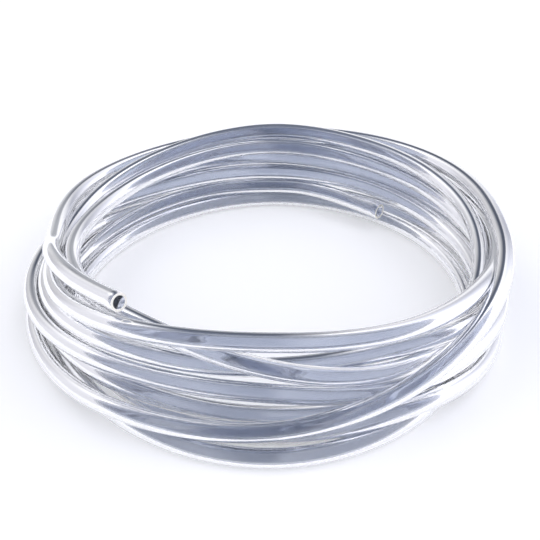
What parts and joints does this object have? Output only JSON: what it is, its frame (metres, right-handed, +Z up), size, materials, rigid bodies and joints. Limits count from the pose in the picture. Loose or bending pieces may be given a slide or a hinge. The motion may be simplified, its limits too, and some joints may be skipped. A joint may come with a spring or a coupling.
{
  "type": "siphon hose coil",
  "caption": "Loose coil of clear vinyl siphon hose for brewing and winemaking, 7.62 m of 5/16 in bore by 7/16 in outside diameter, both ends cut square.",
  "frame": {"origin": "middle of the coil's bounding box, on the plane that the coil lies on", "axes": "+Z up, out of the flat coil; -Y is the front, where the turns fan out; the end on top of the coil is at -X -Y and the other end is inside the hole at +X +Y"},
  "size_m": [0.3184, 0.3182, 0.0795],
  "materials": {
    "clear_vinyl": "gloss"
  },
  "bodies": {
    "root": {"hose_coil": "clear_vinyl", "hose_top_end": "clear_vinyl", "hose_inner_end": "clear_vinyl"}
  },
  "joints": []
}
